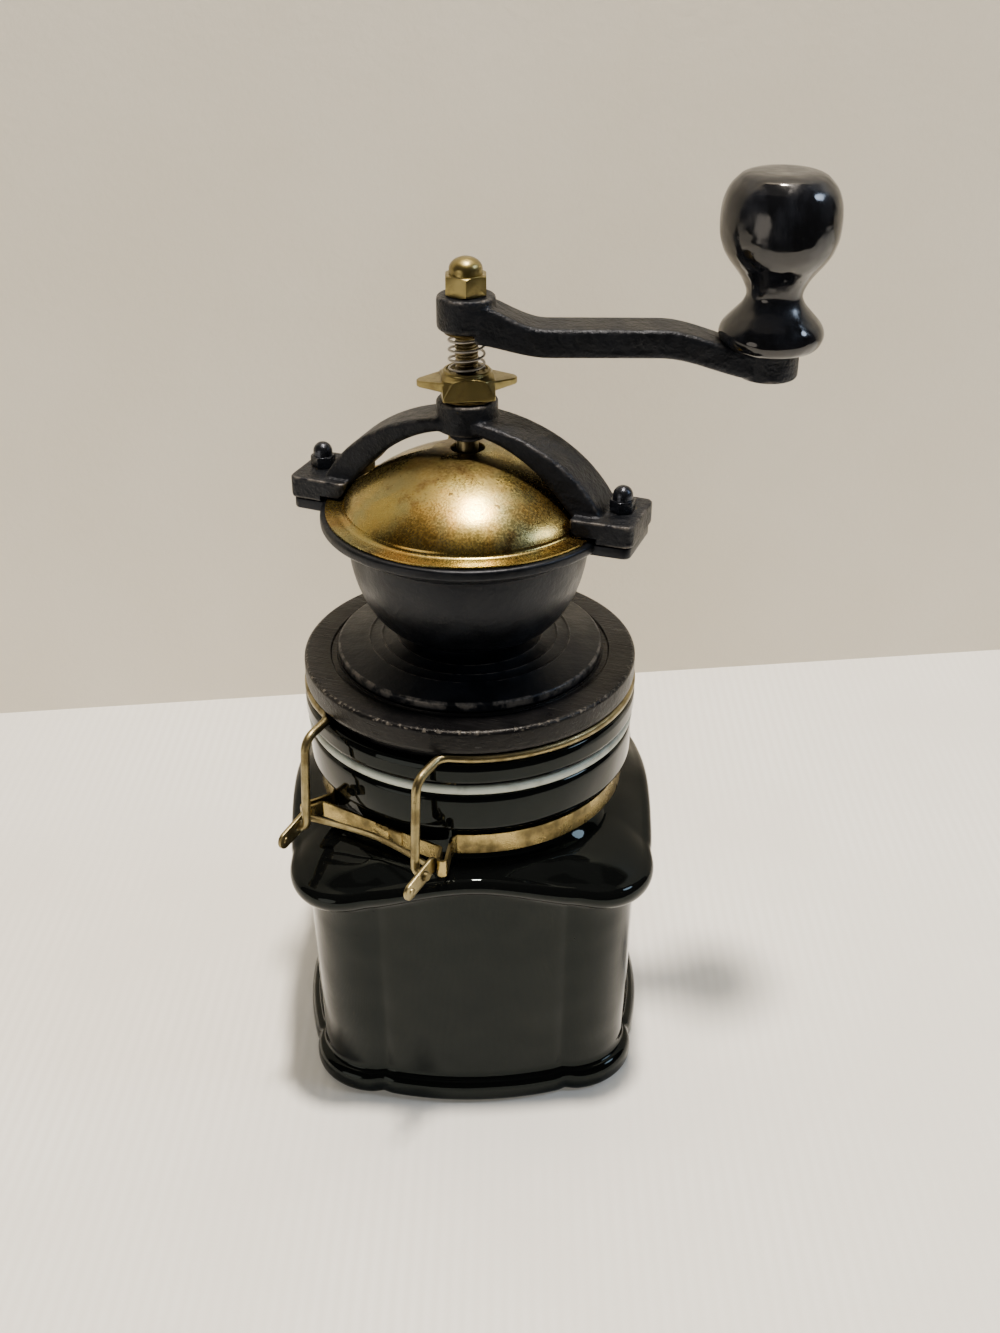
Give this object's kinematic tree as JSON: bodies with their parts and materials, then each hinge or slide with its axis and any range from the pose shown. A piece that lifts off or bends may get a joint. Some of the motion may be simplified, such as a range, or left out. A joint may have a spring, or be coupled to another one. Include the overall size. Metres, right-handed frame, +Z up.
{
  "type": "manual coffee grinder",
  "caption": "Hand cranked coffee grinder: iron hopper with brass dome and yoke on a clamped lid over a square jar with a round neck, and a side crank with a pear-shaped knob.",
  "frame": {"origin": "centre of the jar's foot, on the surface that it stands on", "axes": "+Z up along the shaft, -Y towards the picture's viewer, +X towards the side where the crank rests"},
  "size_m": [0.1699, 0.1377, 0.3017],
  "materials": {
    "jar_glaze": "gloss black glaze",
    "lid_glaze": "gloss black glaze",
    "lid_wood": "satin black paint, scratched",
    "knob_wood": "gloss black lacquer",
    "iron": "satin black paint, worn at the edges",
    "dark_nut": "blackened",
    "closure_metal": "brass plated, tarnished",
    "dome_brass": "polished, stained with age",
    "nut_brass": "machined, dulled",
    "gasket_rubber": "matte pale grey",
    "shaft_steel": "turned",
    "screw_steel": "plain",
    "burr_steel": "bare",
    "spring_steel": "plain"
  },
  "bodies": {
    "jar": {"jar": "jar_glaze", "neck_band": "closure_metal"},
    "lid": {"bail_wire": "closure_metal", "gasket": "gasket_rubber", "lid_plug": "lid_glaze", "lid_disc": "lid_wood", "lid_screw_1": "screw_steel", "lid_screw_2": "screw_steel", "lid_screw_3": "screw_steel", "bowl": "iron", "outer_burr": "burr_steel", "lower_bearing": "iron", "bearing_screw_left": "screw_steel", "bearing_screw_right": "screw_steel", "dome_shell": "dome_brass", "yoke": "iron", "yoke_stud_left": "screw_steel", "yoke_stud_right": "screw_steel", "yoke_nut_left": "dark_nut", "yoke_nut_right": "dark_nut", "thrust_washer": "nut_brass"},
    "lever": {"latch_lever": "closure_metal"},
    "hatch": {"dome_hatch": "dome_brass", "hatch_pull": "nut_brass"},
    "drive": {"shaft": "shaft_steel", "inner_burr": "burr_steel", "spring": "spring_steel", "spring_washer": "nut_brass", "crank_arm": "iron", "crank_nut": "nut_brass", "knob_spindle": "shaft_steel"},
    "adjuster": {"adjusting_nut": "nut_brass"},
    "grip": {"knob": "knob_wood"}
  },
  "joints": [
    {"name": "bail_hinge", "type": "hinge", "parent": "jar", "child": "lid", "pos_m": [0.03201, 0.04836, 0.1045], "axis": [-0.8339, 0.5519, 0], "range_deg": [0, 95]},
    {"name": "latch_turn", "type": "hinge", "parent": "lid", "child": "lever", "pos_m": [-0.03555, -0.0537, 0.1045], "axis": [-0.8339, 0.5519, 0], "range_deg": [-40, 60]},
    {"name": "hopper_door", "type": "hinge", "parent": "lid", "child": "hatch", "pos_m": [0, 0, 0.2], "axis": [0, 0, -1], "range_deg": [-25, 80]},
    {"name": "crank_turn", "type": "hinge", "parent": "lid", "child": "drive", "pos_m": [0, 0, 0.2343], "axis": [0, 0, 1], "continuous": true},
    {"name": "nut_turn", "type": "hinge", "parent": "drive", "child": "adjuster", "pos_m": [0, 0, 0.2357], "axis": [0, 0, 1], "range_deg": [-180, 180]},
    {"name": "knob_spin", "type": "hinge", "parent": "drive", "child": "grip", "pos_m": [0.09045, -0.003, 0.2512], "axis": [0, 0, 1], "continuous": true}
  ]
}
